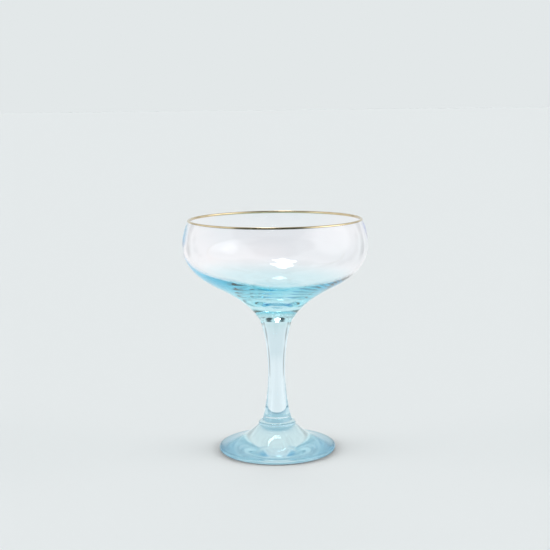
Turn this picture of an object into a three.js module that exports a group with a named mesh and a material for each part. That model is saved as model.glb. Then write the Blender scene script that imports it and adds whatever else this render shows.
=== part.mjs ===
import * as THREE from 'three';

// Champagne coupe in millimetres, +Z up, turned about the Z axis and standing on z = 0.
// Heights add up from the table: the foot, the stem fused on it, the bowl, and the gold on the lip.

// Foot: a domed disc, nearly flat underneath, with a rounded collar that carries the stem
const footDiameter = 66.6;
const footHeight = 16.9;
const footEdgeThickness = 2.8;
const restRingWidth = 2.9;
const hollowRise = 0.3;
const hollowReach = 10;
const hollowEdgeSlope = 1;
const hollowEdgeReach = 9;
const collarBulge = 2.1;
const collarHeight = 4.6;
const collarUnderAngle = 8;
const domeTopSlope = 46;
const domeTopReach = 4;
const domeEdgeSlope = 8;
const domeEdgeReach = 11;

// Stem: solid glass, slim at its waist and flared at both ends
const stemLength = 58.6;
const stemBaseDiameter = 17.2;
const stemBaseFlare = 20;
const stemBaseReach = 7;
const stemWaistDiameter = 9.7;
const stemWaistRise = 26.1;
const waistReachDown = 7;
const waistReachUp = 18;
const stemTopDiameter = 18.4;
const stemTopFlare = 20;
const stemTopReach = 5;

// Bowl: a wide blown cup on a thick solid base, its wall leaning in a little towards the lip
const bowlHeight = 57.3;
const bowlDiameter = 104.3;
const bowlWidestDrop = 14.1;
const rimDiameter = 97.8;
const rimLean = 23;
const rimReach = 3.3;
const widestReachUp = 5.4;
const widestReachDown = 11.7;
const turnDiameter = 65.8;
const turnRise = 19.3;
const turnSlope = 27;
const turnReachUp = 12.6;
const turnReachDown = 21;
const baseFlare = 42;
const baseReach = 4.2;

// Inside of the bowl: a thin wall, and a cup that narrows towards its floor in the solid base
const lipWall = 1.1;
const sideWall = 1.5;
const turnWall = 2.1;
const cupSlope = 25;
const cupTurnReach = 19;
const floorThickness = 10;
const floorReach = 5;

// Gold: a thin band fired on the lip, down both of its sides
const goldThickness = 0.2;
const goldDepth = 0.4;

// Fineness of the revolves and of their curves
const roundSteps = 64;
const longSteps = 9;
const midSteps = 7;
const shortSteps = 4;

// Profile points are (distance from the axis, height), and angles are degrees up from outward
const point = (radius, height) => new THREE.Vector2(radius, height);

function along(start, degrees, reach) {
  const angle = THREE.MathUtils.degToRad(degrees);
  return point(start.x + reach * Math.cos(angle), start.y + reach * Math.sin(angle));
}

function curve(start, startHandle, endHandle, end, steps) {
  return new THREE.CubicBezierCurve(start, startHandle, endHandle, end).getPoints(steps);
}

function arc(centre, radiusOut, radiusUp, startDegrees, endDegrees, steps) {
  const startAngle = THREE.MathUtils.degToRad(startDegrees);
  const endAngle = THREE.MathUtils.degToRad(endDegrees);
  const clockwise = endDegrees < startDegrees;
  const ellipse = new THREE.EllipseCurve(
    centre.x, centre.y, radiusOut, radiusUp, startAngle, endAngle, clockwise,
  );
  return ellipse.getPoints(steps);
}

function withoutRepeats(points) {
  const leastStep = 1e-6;
  return points.filter((p, i) => i === 0 || p.distanceTo(points[i - 1]) > leastStep);
}

function turned(name, profile, material) {
  const geometry = new THREE.LatheGeometry(withoutRepeats(profile), roundSteps);
  geometry.rotateX(Math.PI / 2);
  const mesh = new THREE.Mesh(geometry, material);
  mesh.name = name;
  return mesh;
}

// Heights of the two fused joints and of the glass lip
const stemBaseHeight = footHeight;
const bowlJointHeight = stemBaseHeight + stemLength;
const lipHeight = bowlJointHeight + bowlHeight;
const stemBaseRadius = stemBaseDiameter / 2;
const stemTopRadius = stemTopDiameter / 2;

function makeFoot() {
  const edgeRound = footEdgeThickness / 2;
  const edgeCentre = point(footDiameter / 2 - edgeRound, edgeRound);
  const hollowTop = point(0, hollowRise);
  const hollowEdge = point(edgeCentre.x - restRingWidth, 0);
  const edge = arc(edgeCentre, edgeRound, edgeRound, -90, 90 - domeEdgeSlope, shortSteps);
  const domeEdge = edge.at(-1);

  const collarCentre = point(stemBaseRadius, footHeight - collarHeight / 2);
  const collar = arc(collarCentre, collarBulge, collarHeight / 2, -collarUnderAngle, 90, shortSteps);
  const domeTop = collar[0];

  const profile = [
    ...curve(
      hollowTop,
      along(hollowTop, 0, hollowReach),
      along(hollowEdge, 180 - hollowEdgeSlope, hollowEdgeReach),
      hollowEdge,
      midSteps,
    ),
    ...edge,
    ...curve(
      domeEdge,
      along(domeEdge, 180 - domeEdgeSlope, domeEdgeReach),
      along(domeTop, -domeTopSlope, domeTopReach),
      domeTop,
      longSteps,
    ),
    ...collar,
    point(0, footHeight),
  ];
  const glass = new THREE.MeshStandardMaterial({
    color: '#9fd3e4', roughness: 0.04, metalness: 0, transparent: true, opacity: 0.6,
  });
  return turned('foot', profile, glass);
}

function makeStem() {
  const base = point(stemBaseRadius, stemBaseHeight);
  const waist = point(stemWaistDiameter / 2, stemBaseHeight + stemWaistRise);
  const top = point(stemTopRadius, bowlJointHeight);
  const profile = [
    point(0, stemBaseHeight),
    ...curve(
      base,
      along(base, 90 + stemBaseFlare, stemBaseReach),
      along(waist, -90, waistReachDown),
      waist,
      midSteps,
    ),
    ...curve(
      waist,
      along(waist, 90, waistReachUp),
      along(top, -90 - stemTopFlare, stemTopReach),
      top,
      longSteps,
    ),
    point(0, bowlJointHeight),
  ];
  const glass = new THREE.MeshStandardMaterial({
    color: '#cfe6ef', roughness: 0.04, metalness: 0, transparent: true, opacity: 0.55,
  });
  return turned('stem', profile, glass);
}

// The lip stands on the straight top of the wall, and is rounded over.
// Its outline, moved out by the thickness of the gold, is also the outline of the gold.
const lipRound = lipWall / 2;
const lipCentre = point(rimDiameter / 2 - lipRound, lipHeight - lipRound);
const lipDown = -90 + rimLean;

function lipOutline(outset) {
  const reach = lipRound + outset;
  const foot = along(lipCentre, lipDown, goldDepth);
  return [
    along(foot, rimLean, reach),
    ...arc(lipCentre, reach, reach, rimLean, 180 + rimLean, shortSteps + 1),
    along(foot, 180 + rimLean, reach),
  ];
}

function makeBowl() {
  const lip = lipOutline(0);
  const joint = point(stemTopRadius, bowlJointHeight);
  const turn = point(turnDiameter / 2, bowlJointHeight + turnRise);
  const widest = point(bowlDiameter / 2, lipHeight - bowlWidestDrop);
  const cupTurn = along(turn, 90 + turnSlope, turnWall);
  const cupWidest = along(widest, 180, sideWall);
  const cupFloor = point(0, bowlJointHeight + floorThickness);

  const outside = [
    point(0, bowlJointHeight),
    ...curve(
      joint,
      along(joint, 90 - baseFlare, baseReach),
      along(turn, 180 + turnSlope, turnReachDown),
      turn,
      longSteps,
    ),
    ...curve(
      turn,
      along(turn, turnSlope, turnReachUp),
      along(widest, -90, widestReachDown),
      widest,
      longSteps,
    ),
    ...curve(
      widest,
      along(widest, 90, widestReachUp),
      along(lip[0], lipDown, rimReach),
      lip[0],
      shortSteps,
    ),
  ];
  const inside = [
    ...curve(
      lip.at(-1),
      along(lip.at(-1), lipDown, rimReach),
      along(cupWidest, 90, widestReachUp),
      cupWidest,
      shortSteps,
    ),
    ...curve(
      cupWidest,
      along(cupWidest, -90, widestReachDown),
      along(cupTurn, cupSlope, turnReachUp),
      cupTurn,
      longSteps,
    ),
    ...curve(
      cupTurn,
      along(cupTurn, 180 + cupSlope, cupTurnReach),
      along(cupFloor, 0, floorReach),
      cupFloor,
      midSteps,
    ),
  ];
  const glass = new THREE.MeshStandardMaterial({
    color: '#e4ebf0', roughness: 0.03, metalness: 0, transparent: true, opacity: 0.4,
  });
  return turned('bowl', [...outside, ...lip, ...inside], glass);
}

function makeGoldRim() {
  const outer = lipOutline(goldThickness);
  const seat = lipOutline(0).reverse();
  const gold = new THREE.MeshStandardMaterial({ color: '#c9b887', roughness: 0.18, metalness: 1 });
  return turned('gold_rim', [...outer, ...seat, outer[0]], gold);
}

const coupe = new THREE.Group();
coupe.add(makeFoot(), makeStem(), makeBowl(), makeGoldRim());

export default coupe;
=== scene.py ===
import math

import bmesh
import bpy
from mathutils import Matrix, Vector
from mathutils.geometry import interpolate_bezier


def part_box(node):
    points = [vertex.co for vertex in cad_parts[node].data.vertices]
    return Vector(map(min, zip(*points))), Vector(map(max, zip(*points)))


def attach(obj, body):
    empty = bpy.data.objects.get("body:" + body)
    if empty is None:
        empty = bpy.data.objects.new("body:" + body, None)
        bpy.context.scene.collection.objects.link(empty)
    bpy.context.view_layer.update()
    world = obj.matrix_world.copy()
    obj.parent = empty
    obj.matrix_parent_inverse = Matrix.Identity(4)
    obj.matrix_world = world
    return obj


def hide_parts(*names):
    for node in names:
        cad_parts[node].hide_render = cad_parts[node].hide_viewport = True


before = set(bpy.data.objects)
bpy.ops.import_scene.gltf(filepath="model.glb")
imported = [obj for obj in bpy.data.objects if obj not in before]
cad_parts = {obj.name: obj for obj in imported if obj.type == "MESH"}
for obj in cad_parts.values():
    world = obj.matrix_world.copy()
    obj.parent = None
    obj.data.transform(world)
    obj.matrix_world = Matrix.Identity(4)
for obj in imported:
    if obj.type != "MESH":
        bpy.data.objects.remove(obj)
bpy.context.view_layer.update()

# The foot
# A domed disc of pressed soda-lime glass, nearly flat underneath, that stands on its outer ring.
# Its rounded collar is fused to the stem while both are hot, so no seam is left inside the glass.
MM = 0.001
foot_low, foot_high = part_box("foot")
FOOT_EDGE = 2.8 * MM
REST_RING = 2.9 * MM
HOLLOW_RISE = 0.3 * MM
HOLLOW_SLOPE = 1
HOLLOW_PULLS = (10, 9)
FLAT_STEP = 0.3 * MM
COLLAR_RADIUS = 8.6 * MM
COLLAR_BULGE = 2.1 * MM
COLLAR_HEIGHT = 4.6 * MM
COLLAR_UNDER = 8
COLLAR_OVER = 80
DOME_EDGE_SLOPE = 8
DOME_TOP_SLOPE = 46
DOME_PULLS = (11, 4)
BEND_STEPS = 36
ARC_STEPS = 12


# Outlines lie in the plane of x and z, as distance from the axis and height above the table.
# Angles are degrees up from outward, and pulls are the reach in mm of a bend's two handles.
def at(radius, height):
    return Vector((radius, 0, height))


def along(start, degrees, reach):
    angle = math.radians(degrees)
    return start + Vector((math.cos(angle), 0, math.sin(angle))) * reach


def bend(start, start_angle, end, end_angle, pulls):
    start_handle = along(start, start_angle, pulls[0] * MM)
    end_handle = along(end, end_angle, pulls[1] * MM)
    return interpolate_bezier(start, start_handle, end_handle, end, BEND_STEPS)


def arc(centre, radius_out, radius_up, start_angle, end_angle):
    points = []
    for step in range(ARC_STEPS + 1):
        angle = math.radians(start_angle + (end_angle - start_angle) * step / ARC_STEPS)
        points.append(centre + Vector((radius_out * math.cos(angle), 0, radius_up * math.sin(angle))))
    return points


edge_round = FOOT_EDGE / 2
edge_centre = at(foot_high.x - edge_round, edge_round)
foot_edge = arc(edge_centre, edge_round, edge_round, -90, 90 - DOME_EDGE_SLOPE)
hollow_top = at(0, HOLLOW_RISE)
hollow_edge = at(edge_centre.x - REST_RING, 0)
# Two close points keep the smooth shading of the hollow off the flat ring
flat_start = [along(hollow_edge, 0, FLAT_STEP), along(hollow_edge, 0, 2 * FLAT_STEP)]
collar_centre = at(COLLAR_RADIUS, foot_high.z - COLLAR_HEIGHT / 2)
collar = arc(collar_centre, COLLAR_BULGE, COLLAR_HEIGHT / 2, -COLLAR_UNDER, COLLAR_OVER)
foot_outline = (
    bend(hollow_top, 0, hollow_edge, 180 - HOLLOW_SLOPE, HOLLOW_PULLS)
    + flat_start
    + foot_edge
    + bend(foot_edge[-1], 180 - DOME_EDGE_SLOPE, collar[0], -DOME_TOP_SLOPE, DOME_PULLS)
    + collar
)

# The stem
# A solid rod of the same glass, drawn out of the bowl's base while soft, slim at its waist.
# It is fused to the collar below and runs into the bowl above.
stem_low, stem_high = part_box("stem")
STEM_BASE_FLARE = 20
STEM_BASE_PULLS = (7, 7)
WAIST_RADIUS = 4.85 * MM
WAIST_RISE = 26.1 * MM
STEM_TOP_FLARE = 20
STEM_TOP_PULLS = (18, 5)

stem_base = at(COLLAR_RADIUS, stem_low.z)
waist = at(WAIST_RADIUS, stem_low.z + WAIST_RISE)
stem_top = at(stem_high.x, stem_high.z)
stem_outline = (
    bend(stem_base, 90 + STEM_BASE_FLARE, waist, -90, STEM_BASE_PULLS)
    + bend(waist, 90, stem_top, -90 - STEM_TOP_FLARE, STEM_TOP_PULLS)
)

# The bowl
# A wide blown cup with a thin wall, a thick solid base and a lip that is rounded in the flame.
# Foot, stem and bowl are one mesh, because light crosses a fused joint with no surface in its way.
bowl_low, bowl_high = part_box("bowl")
BASE_FLARE = 42
BASE_PULLS = (4.2, 21)
TURN_RADIUS = 32.9 * MM
TURN_RISE = 19.3 * MM
TURN_SLOPE = 27
SIDE_PULLS = (12.6, 11.7)
WIDEST_DROP = 14.1 * MM
SHOULDER_PULLS = (5.4, 3.3)
RIM_RADIUS = 48.9 * MM
RIM_LEAN = 23
LIP_WALL = 1.1 * MM
GOLD_DEPTH = 0.4 * MM
SIDE_WALL = 1.5 * MM
TURN_WALL = 2.1 * MM
CUP_SLOPE = 25
CUP_PULLS = (19, 5)
FLOOR_THICKNESS = 10 * MM
# The floor of the blown cup stands a little off the axis and tilts, so one wall is thicker than the other
CUP_DRIFT = 0.9 * MM
CUP_TILT = 0.026
GLASS_TURNS = 192
CREASE_ANGLE = 18
MERGE_WITHIN = 0.0005 * MM


def lip_outline(outset):
    lip_round = LIP_WALL / 2
    centre = at(RIM_RADIUS - lip_round, bowl_high.z - lip_round)
    below = along(centre, RIM_LEAN - 90, GOLD_DEPTH)
    reach = lip_round + outset
    rounded = arc(centre, reach, reach, RIM_LEAN, 180 + RIM_LEAN)
    return [along(below, RIM_LEAN, reach)] + rounded + [along(below, 180 + RIM_LEAN, reach)]


def revolve(mesh, outline):
    earlier = set(mesh.verts)
    rim = [mesh.verts.new(point) for point in outline]
    edges = [mesh.edges.new(pair) for pair in zip(rim, rim[1:])]
    bmesh.ops.spin(
        mesh, geom=rim + edges, axis=(0, 0, 1), cent=(0, 0, 0),
        angle=math.tau, steps=GLASS_TURNS, use_merge=True,
    )
    return [vert for vert in mesh.verts if vert not in earlier]


def finished(name, mesh):
    bmesh.ops.remove_doubles(mesh, verts=mesh.verts, dist=MERGE_WITHIN)
    bmesh.ops.recalc_face_normals(mesh, faces=mesh.faces)
    for face in mesh.faces:
        face.smooth = True
    for edge in mesh.edges:
        edge.smooth = edge.calc_face_angle() < math.radians(CREASE_ANGLE)
    data = bpy.data.meshes.new(name)
    mesh.to_mesh(data)
    mesh.free()
    piece = bpy.data.objects.new(name, data)
    bpy.context.scene.collection.objects.link(piece)
    return piece


turn = at(TURN_RADIUS, bowl_low.z + TURN_RISE)
widest = at(bowl_high.x, bowl_high.z - WIDEST_DROP)
lip = lip_outline(0)
cup_widest = along(widest, 180, SIDE_WALL)
cup_turn = along(turn, 90 + TURN_SLOPE, TURN_WALL)
cup_floor = at(0, bowl_low.z + FLOOR_THICKNESS)
bowl_outside = (
    bend(stem_top, 90 - BASE_FLARE, turn, 180 + TURN_SLOPE, BASE_PULLS)
    + bend(turn, TURN_SLOPE, widest, -90, SIDE_PULLS)
    + bend(widest, 90, lip[0], RIM_LEAN - 90, SHOULDER_PULLS)
    + lip
)
bowl_inside = (
    bend(lip[-1], RIM_LEAN - 90, cup_widest, 90, SHOULDER_PULLS[::-1])
    + bend(cup_widest, -90, cup_turn, CUP_SLOPE, SIDE_PULLS[::-1])
    + bend(cup_turn, 180 + CUP_SLOPE, cup_floor, 0, CUP_PULLS)
)
glass_mesh = bmesh.new()
revolve(glass_mesh, foot_outline + stem_outline + bowl_outside)
for vert in revolve(glass_mesh, bowl_inside):
    depth = (lip[-1].z - vert.co.z) / (lip[-1].z - cup_floor.z)
    vert.co.z -= CUP_TILT * vert.co.x * depth ** 2
    vert.co.x += CUP_DRIFT * depth ** 2
glass = finished("fused_glass", glass_mesh)


def linear(hex_colour):
    channels = [int(hex_colour[i:i + 2], 16) / 255 for i in (1, 3, 5)]
    return [c / 12.92 if c <= 0.04045 else ((c + 0.055) / 1.055) ** 2.4 for c in channels] + [1]


# Each input is a socket to link or a value to set, under the socket's name or number
def add_node(tree, kind, inputs, **settings):
    node = tree.nodes.new(kind)
    for name, value in settings.items():
        setattr(node, name, value)
    for name, source in inputs.items():
        if isinstance(source, bpy.types.NodeSocket):
            tree.links.new(source, node.inputs[name])
        else:
            node.inputs[name].default_value = source
    return node


# A Mix node's colours come after its numbers and vectors, so they are taken by their places
MIX_FIRST = 6
MIX_SECOND = 7
MIX_COLOUR = 2


# The first colour up to the start, the second one from the end on, and a soft change between them
def graded(tree, along_this, start, end, first, second):
    share = add_node(tree, "ShaderNodeMapRange", {
        "Value": along_this, "From Min": start, "From Max": end,
    }, interpolation_type="SMOOTHSTEP")
    blend = add_node(tree, "ShaderNodeMix", {
        "Factor": share.outputs["Result"], MIX_FIRST: first, MIX_SECOND: second,
    }, data_type="RGBA")
    return blend.outputs[MIX_COLOUR]


def new_material(name):
    material = bpy.data.materials.new(name)
    material.use_nodes = True
    material.node_tree.nodes.clear()
    return material


# Soda-lime glass, fire-polished: clear and mirror-smooth, with faint waves that the flame leaves.
# A turquoise lustre tints it a little at each surface, so it deepens wherever light is thrown to and fro.
# The thin wall has only a trace of lilac, and the pressed underside is slightly rough.
GLASS_IOR = 1.51
DOME_LUSTRE = "#f5fcfd"
FLANGE_LUSTRE = "#eff8fb"
STEM_LUSTRE = "#f2fafd"
BASE_LUSTRE = "#edfbfd"
WALL_LUSTRE = "#fffeff"
EDGE_ON_LUSTRE = "#ffffff"
EDGE_ON_BLEND = 0.5
FLANGE_START = 17 * MM
FLANGE_FULL = 24 * MM
BASE_START = 66 * MM
BASE_FULL = 80 * MM
WALL_START = 93 * MM
WALL_FULL = 106 * MM
CLOUD_WIDTH = 40 * MM
CLOUD_DETAIL = 2.0
CLOUD_LEAST = 0.8
CLOUD_MOST = 1.1
WAVE_LENGTH = 14 * MM
WAVE_DETAIL = 0.0
WAVE_DEPTH = 0.004 * MM
PRESSED_BELOW = 0.6 * MM
PRESSED_FULL = 0.2 * MM
PRESSED_ROUGHNESS = 0.12
# The body of the glass has a weak tint too, given as the light that a metre of it takes
RED_LOSS = 0.8
GREEN_LOSS = 0.25
BLUE_LOSS = 0.1
TINT_DENSITY = 12.0
# What each surface lets through to the table, which makes the shadow: least at the rounded edge of the foot
DOME_SHADE = "#b4b6b6"
FLANGE_SHADE = "#808282"
EDGE_SHADE = "#202222"
BOWL_SHADE = "#f6f8f8"
EDGE_START = 30.5 * MM
EDGE_FULL = 32.5 * MM

glass_material = new_material("soda_lime_glass")
tree = glass_material.node_tree
place = add_node(tree, "ShaderNodeTexCoord", {}).outputs["Object"]
height = add_node(tree, "ShaderNodeSeparateXYZ", {"Vector": place}).outputs["Z"]
level = add_node(tree, "ShaderNodeVectorMath", {0: place, 1: (1, 1, 0)}, operation="MULTIPLY")
radius = add_node(tree, "ShaderNodeVectorMath", {0: level.outputs[0]}, operation="LENGTH").outputs["Value"]
above_foot = add_node(tree, "ShaderNodeMath", {0: height, 1: foot_high.z}, operation="GREATER_THAN")

foot_lustre = graded(tree, radius, FLANGE_START, FLANGE_FULL, linear(DOME_LUSTRE), linear(FLANGE_LUSTRE))
stem_lustre = graded(tree, height, BASE_START, BASE_FULL, linear(STEM_LUSTRE), linear(BASE_LUSTRE))
low_lustre = add_node(tree, "ShaderNodeMix", {
    "Factor": above_foot.outputs[0], MIX_FIRST: foot_lustre, MIX_SECOND: stem_lustre,
}, data_type="RGBA")
edge_on = add_node(tree, "ShaderNodeLayerWeight", {"Blend": EDGE_ON_BLEND})
wall_lustre = add_node(tree, "ShaderNodeMix", {
    "Factor": edge_on.outputs["Facing"],
    MIX_FIRST: linear(WALL_LUSTRE),
    MIX_SECOND: linear(EDGE_ON_LUSTRE),
}, data_type="RGBA")
cloud = add_node(tree, "ShaderNodeTexNoise", {
    "Vector": place, "Scale": 1 / CLOUD_WIDTH, "Detail": CLOUD_DETAIL,
})
cover = add_node(tree, "ShaderNodeMapRange", {
    "Value": cloud.outputs["Fac"], "To Min": CLOUD_LEAST, "To Max": CLOUD_MOST,
})
wall_share = add_node(tree, "ShaderNodeMapRange", {
    "Value": height, "From Min": WALL_START, "From Max": WALL_FULL, "To Max": cover.outputs["Result"],
}, interpolation_type="SMOOTHSTEP")
lustre = add_node(tree, "ShaderNodeMix", {
    "Factor": wall_share.outputs["Result"],
    MIX_FIRST: low_lustre.outputs[MIX_COLOUR],
    MIX_SECOND: wall_lustre.outputs[MIX_COLOUR],
}, data_type="RGBA")

wave = add_node(tree, "ShaderNodeTexNoise", {
    "Vector": place, "Scale": 1 / WAVE_LENGTH, "Detail": WAVE_DETAIL,
})
ripple = add_node(tree, "ShaderNodeBump", {"Height": wave.outputs["Fac"], "Distance": WAVE_DEPTH})
pressed = add_node(tree, "ShaderNodeMapRange", {
    "Value": height, "From Min": PRESSED_BELOW, "From Max": PRESSED_FULL, "To Max": PRESSED_ROUGHNESS,
})
surface = add_node(tree, "ShaderNodeBsdfGlass", {
    "IOR": GLASS_IOR,
    "Color": lustre.outputs[MIX_COLOUR],
    "Roughness": pressed.outputs["Result"],
    "Normal": ripple.outputs["Normal"],
})
tint = add_node(tree, "ShaderNodeVolumeAbsorption", {
    "Color": [1 - loss / TINT_DENSITY for loss in (RED_LOSS, GREEN_LOSS, BLUE_LOSS)] + [1],
    "Density": TINT_DENSITY,
})

# Light on its way to the table goes straight through, and loses what the glass would turn aside
inner_shade = graded(tree, radius, FLANGE_START, FLANGE_FULL, linear(DOME_SHADE), linear(FLANGE_SHADE))
foot_shade = graded(tree, radius, EDGE_START, EDGE_FULL, inner_shade, linear(EDGE_SHADE))
shade = add_node(tree, "ShaderNodeMix", {
    "Factor": above_foot.outputs[0], MIX_FIRST: foot_shade, MIX_SECOND: linear(BOWL_SHADE),
}, data_type="RGBA")
clear = add_node(tree, "ShaderNodeBsdfTransparent", {"Color": shade.outputs[MIX_COLOUR]})
ray = add_node(tree, "ShaderNodeLightPath", {})
to_table = add_node(tree, "ShaderNodeMath", {
    0: ray.outputs["Is Shadow Ray"], 1: ray.outputs["Is Diffuse Ray"],
}, operation="MAXIMUM")
passing = add_node(tree, "ShaderNodeMixShader", {
    0: to_table.outputs[0], 1: surface.outputs[0], 2: clear.outputs[0],
})
add_node(tree, "ShaderNodeOutputMaterial", {"Surface": passing.outputs[0], "Volume": tint.outputs[0]})
glass.data.materials.append(glass_material)
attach(glass, "root")
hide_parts("foot", "stem", "bowl")

# The gold rim
# Liquid bright gold, brushed on the lip and fired into a film that follows the rounded edge.
# It is thinner in places, where the brush left less of it.
GOLD_THICKNESS = 0.2 * MM
GOLD_FULL = "#d8c9a8"
GOLD_THIN = "#c2b290"
BRUSH_LENGTH = 9 * MM
STREAK_DETAIL = 3.0
SMOOTHEST = 0.08
ROUGHEST = 0.22

gold_outer = lip_outline(GOLD_THICKNESS)
gold_seat = lip_outline(0)[::-1]
gold_mesh = bmesh.new()
revolve(gold_mesh, gold_outer + gold_seat + gold_outer[:1])
gold_rim = finished("gold_band", gold_mesh)

# Fired gold: a pale, bright metal with soft streaks of deeper colour and a slightly broken gloss
gold_material = new_material("fired_gold")
tree = gold_material.node_tree
place = add_node(tree, "ShaderNodeTexCoord", {}).outputs["Object"]
streak = add_node(tree, "ShaderNodeTexNoise", {
    "Vector": place, "Scale": 1 / BRUSH_LENGTH, "Detail": STREAK_DETAIL,
})
gold_colour = add_node(tree, "ShaderNodeMix", {
    "Factor": streak.outputs["Fac"], MIX_FIRST: linear(GOLD_FULL), MIX_SECOND: linear(GOLD_THIN),
}, data_type="RGBA")
gloss = add_node(tree, "ShaderNodeMapRange", {
    "Value": streak.outputs["Fac"], "To Min": SMOOTHEST, "To Max": ROUGHEST,
})
surface = add_node(tree, "ShaderNodeBsdfPrincipled", {
    "Metallic": 1.0, "Base Color": gold_colour.outputs[MIX_COLOUR], "Roughness": gloss.outputs["Result"],
})
add_node(tree, "ShaderNodeOutputMaterial", {"Surface": surface.outputs[0]})
gold_rim.data.materials.append(gold_material)
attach(gold_rim, "root")
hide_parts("gold_rim")

# The table, the light and the camera
# A pale matt table runs into a pale backdrop, and soft white light falls on it from both sides.
# The glass and the gold show a white studio instead, and the patch of table close to the foot.
BACKDROP = "#e3e8e9"
# Painted light: a blue tint and a glow on the table under the foot, and a painted contact shadow at its
# edge
UNDER_FOOT_PAINTED_TINT = "#cfeefa"
UNDER_FOOT_PAINTED_GLOW = 0.7
PAINTED_CONTACT_SHADOW_SHARE = 0.3
NEAR_TABLE = 37 * MM
FAR_TABLE = 60.0
TABLE_GAP = 0.05 * MM
TABLE_SIDES = 96
GLASS_BOUNCES = 256

scene = bpy.context.scene
scene.view_settings.view_transform = "Standard"
scene.cycles.max_bounces = GLASS_BOUNCES
scene.cycles.transmission_bounces = GLASS_BOUNCES
scene.cycles.glossy_bounces = GLASS_BOUNCES
scene.cycles.caustics_reflective = False
scene.cycles.caustics_refractive = False


def table(name, extent, drop, material):
    disc = bmesh.new()
    bmesh.ops.create_circle(disc, cap_ends=True, segments=TABLE_SIDES, radius=extent)
    data = bpy.data.meshes.new(name)
    disc.to_mesh(data)
    disc.free()
    data.materials.append(material)
    top = bpy.data.objects.new(name, data)
    top.location.z = -drop
    scene.collection.objects.link(top)
    return top


# Painted light: the table under the foot glows, standing in for the light that the glass gathers there
# The glow drops to a painted contact shadow, a dark ring under the rounded edge of the foot
painted_glow_card = new_material("painted_glow_card")
tree = painted_glow_card.node_tree
place = add_node(tree, "ShaderNodeTexCoord", {}).outputs["Object"]
from_axis = add_node(tree, "ShaderNodeVectorMath", {0: place}, operation="LENGTH")
painted_glow_share = add_node(tree, "ShaderNodeMapRange", {
    "Value": from_axis.outputs["Value"], "From Min": EDGE_FULL, "From Max": EDGE_START,
    "To Min": PAINTED_CONTACT_SHADOW_SHARE * UNDER_FOOT_PAINTED_GLOW, "To Max": UNDER_FOOT_PAINTED_GLOW,
})
matt = add_node(tree, "ShaderNodeBsdfDiffuse", {"Color": linear(UNDER_FOOT_PAINTED_TINT)})
painted_gathered_light = add_node(tree, "ShaderNodeEmission", {"Color": linear(UNDER_FOOT_PAINTED_TINT)})
surface = add_node(tree, "ShaderNodeMixShader", {
    0: painted_glow_share.outputs["Result"], 1: matt.outputs[0], 2: painted_gathered_light.outputs[0],
})
add_node(tree, "ShaderNodeOutputMaterial", {"Surface": surface.outputs[0]})
near_table = table("near_table", NEAR_TABLE, TABLE_GAP, painted_glow_card)
near_table.visible_camera = False
near_table.visible_diffuse = False
near_table.visible_shadow = False

matt_card = new_material("matt_card")
tree = matt_card.node_tree
surface = add_node(tree, "ShaderNodeBsdfDiffuse", {"Color": linear(BACKDROP)})
add_node(tree, "ShaderNodeOutputMaterial", {"Surface": surface.outputs[0]})
far_table = table("far_table", FAR_TABLE, 2 * TABLE_GAP, matt_card)
far_table.visible_transmission = False
far_table.visible_glossy = False

# The studio, as levels of white: the backdrop behind, a wall on each side, and the table beyond the foot
BACK_LEVEL = 1.05
WALL_LEVEL = 1.0
TABLE_LEVEL = 0.95
# Dim cards in front and two bright windows, which show only as reflections on the gold and the glass
FRONT_LEVEL = 0.25
CARD_LEVEL = 0.05
LOW_CARD_LEVEL = 0.15
WINDOW_LEVEL = 2.4
# Two grey strips behind the glass draw its edges, from below the table's level up to well above the lip
STRIP_LEVEL = 0.5
STRIP_AZIMUTH = 43
STRIP_HEIGHTS = (-8, 6, 20, 34, 48)
# The light on the table: a little from all round, more from overhead, and most from low panels
ROUND_LIGHT = 0.217
TOP_LIGHT = 0.44
SIDE_LIGHT = 7.5
BACK_LIGHT = 3.45

world = bpy.data.worlds.new("studio")
scene.world = world
world.use_nodes = True
tree = world.node_tree
tree.nodes.clear()
outward = add_node(tree, "ShaderNodeTexCoord", {}).outputs["Generated"]
ray = add_node(tree, "ShaderNodeLightPath", {})


# A round patch of one level, full up to so many degrees from its middle and gone at its edge
def paint(before, level, towards, full, edge):
    middle = Vector(towards).normalized()
    nearness = add_node(tree, "ShaderNodeVectorMath", {0: outward, 1: middle}, operation="DOT_PRODUCT")
    return graded(
        tree, nearness.outputs["Value"], math.cos(math.radians(edge)), math.cos(math.radians(full)),
        before, (level, level, level, 1),
    )


room = [BACK_LEVEL * channel for channel in linear(BACKDROP)]
room = paint(room, WALL_LEVEL, towards=(1, 0, 0), full=40, edge=70)
room = paint(room, WALL_LEVEL, towards=(-1, 0, 0), full=40, edge=70)
room = paint(room, TABLE_LEVEL, towards=(0, 0, -1), full=79, edge=84)

mirrored = paint(room, FRONT_LEVEL, towards=(0, -1, 0.05), full=20, edge=32)
mirrored = paint(mirrored, CARD_LEVEL, towards=(0, -0.65, 0.76), full=28, edge=36)
mirrored = paint(mirrored, CARD_LEVEL, towards=(-0.45, -0.66, 0.6), full=18, edge=26)
mirrored = paint(mirrored, CARD_LEVEL, towards=(0.3, -0.7, 0.65), full=12, edge=20)
mirrored = paint(mirrored, LOW_CARD_LEVEL, towards=(0, -0.62, -0.79), full=12, edge=22)
mirrored = paint(mirrored, WINDOW_LEVEL, towards=(0.978, -0.208, 0.26), full=18, edge=34)
mirrored = paint(mirrored, WINDOW_LEVEL, towards=(-0.84, -0.545, 0.09), full=5, edge=14)
reflected = add_node(tree, "ShaderNodeMath", {
    0: ray.outputs["Is Glossy Ray"], 1: ray.outputs["Is Transmission Ray"],
}, operation="SUBTRACT")
room = add_node(tree, "ShaderNodeMix", {
    "Factor": reflected.outputs[0], MIX_FIRST: room, MIX_SECOND: mirrored,
}, data_type="RGBA").outputs[MIX_COLOUR]

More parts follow.
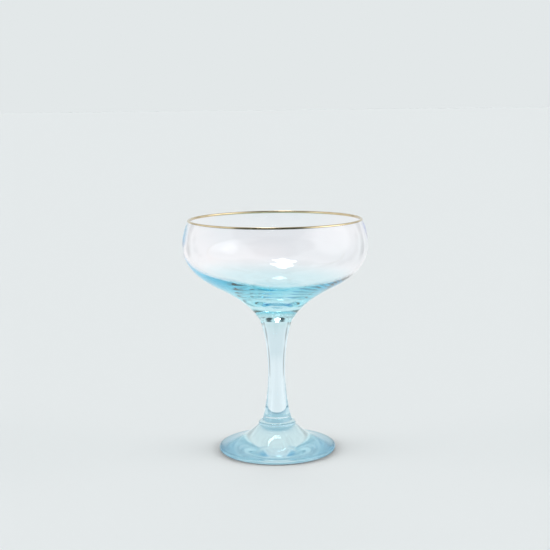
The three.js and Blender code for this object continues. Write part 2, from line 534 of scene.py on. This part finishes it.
# Two small dark gaps overhead give the dark line across the neck
room = paint(room, CARD_LEVEL, towards=(-0.28, 0.2, 0.94), full=5, edge=12)
room = paint(room, CARD_LEVEL, towards=(0.28, 0.2, 0.94), full=5, edge=12)
for strip_height in STRIP_HEIGHTS:
    for side in (-1, 1):
        level_reach = math.cos(math.radians(strip_height))
        across = side * level_reach * math.sin(math.radians(STRIP_AZIMUTH))
        back = level_reach * math.cos(math.radians(STRIP_AZIMUTH))
        up = math.sin(math.radians(strip_height))
        room = paint(room, STRIP_LEVEL, towards=(across, back, up), full=3, edge=9)

panels = paint((ROUND_LIGHT, ROUND_LIGHT, ROUND_LIGHT, 1), TOP_LIGHT, towards=(0, 0, 1), full=20, edge=60)
panels = paint(panels, SIDE_LIGHT, towards=(-1, 0, 0.3), full=12, edge=28)
panels = paint(panels, SIDE_LIGHT, towards=(1, 0, 0.3), full=12, edge=28)
panels = paint(panels, BACK_LIGHT, towards=(0, 1, 0.3), full=12, edge=28)

studio = add_node(tree, "ShaderNodeBackground", {"Color": room})
backdrop = add_node(tree, "ShaderNodeBackground", {"Color": linear(BACKDROP)})
table_light = add_node(tree, "ShaderNodeBackground", {"Color": panels})
turned_aside = add_node(tree, "ShaderNodeMath", {
    0: ray.outputs["Is Glossy Ray"], 1: ray.outputs["Is Transmission Ray"],
}, operation="MAXIMUM")
lit = add_node(tree, "ShaderNodeMixShader", {
    0: turned_aside.outputs[0], 1: table_light.outputs[0], 2: studio.outputs[0],
})
seen = add_node(tree, "ShaderNodeMixShader", {
    0: ray.outputs["Is Camera Ray"], 1: lit.outputs[0], 2: backdrop.outputs[0],
})
add_node(tree, "ShaderNodeOutputWorld", {"Surface": seen.outputs[0]})

# A small lamp almost overhead, a little behind the glass, which gives its sharp white highlights
LAMP_PLACE = (-0.08, 0.1, 0.95)
LAMP_TARGET = (0, 0, 0.1)
LAMP_WIDTH = 0.16
LAMP_LENGTH = 0.22
LAMP_WATTS = 1.2
light = bpy.data.lights.new("window_lamp", "AREA")
light.shape = "RECTANGLE"
light.size = LAMP_WIDTH
light.size_y = LAMP_LENGTH
light.energy = LAMP_WATTS
lamp = bpy.data.objects.new("window_lamp", light)
lamp.location = LAMP_PLACE
lamp.rotation_euler = (Vector(LAMP_TARGET) - Vector(LAMP_PLACE)).to_track_quat("-Z", "Y").to_euler()
lamp.visible_diffuse = False
lamp.visible_camera = False
scene.collection.objects.link(lamp)

# The camera stands a little above the lip and looks slightly down, with its focal length in pixels
CAMERA_PLACE = (-0.0003, -0.640, 0.1952)
CAMERA_PITCH = 8.385
CAMERA_ROLL = -0.65
FOCAL_PIXELS = 1143.9
PICTURE_PIXELS = 550
view = bpy.data.cameras.new("camera")
view.lens = view.sensor_width * FOCAL_PIXELS / PICTURE_PIXELS
camera = bpy.data.objects.new("camera", view)
camera.location = CAMERA_PLACE
camera.rotation_mode = "ZXY"
camera.rotation_euler = (math.radians(90 - CAMERA_PITCH), 0, math.radians(CAMERA_ROLL))
scene.collection.objects.link(camera)
scene.camera = camera
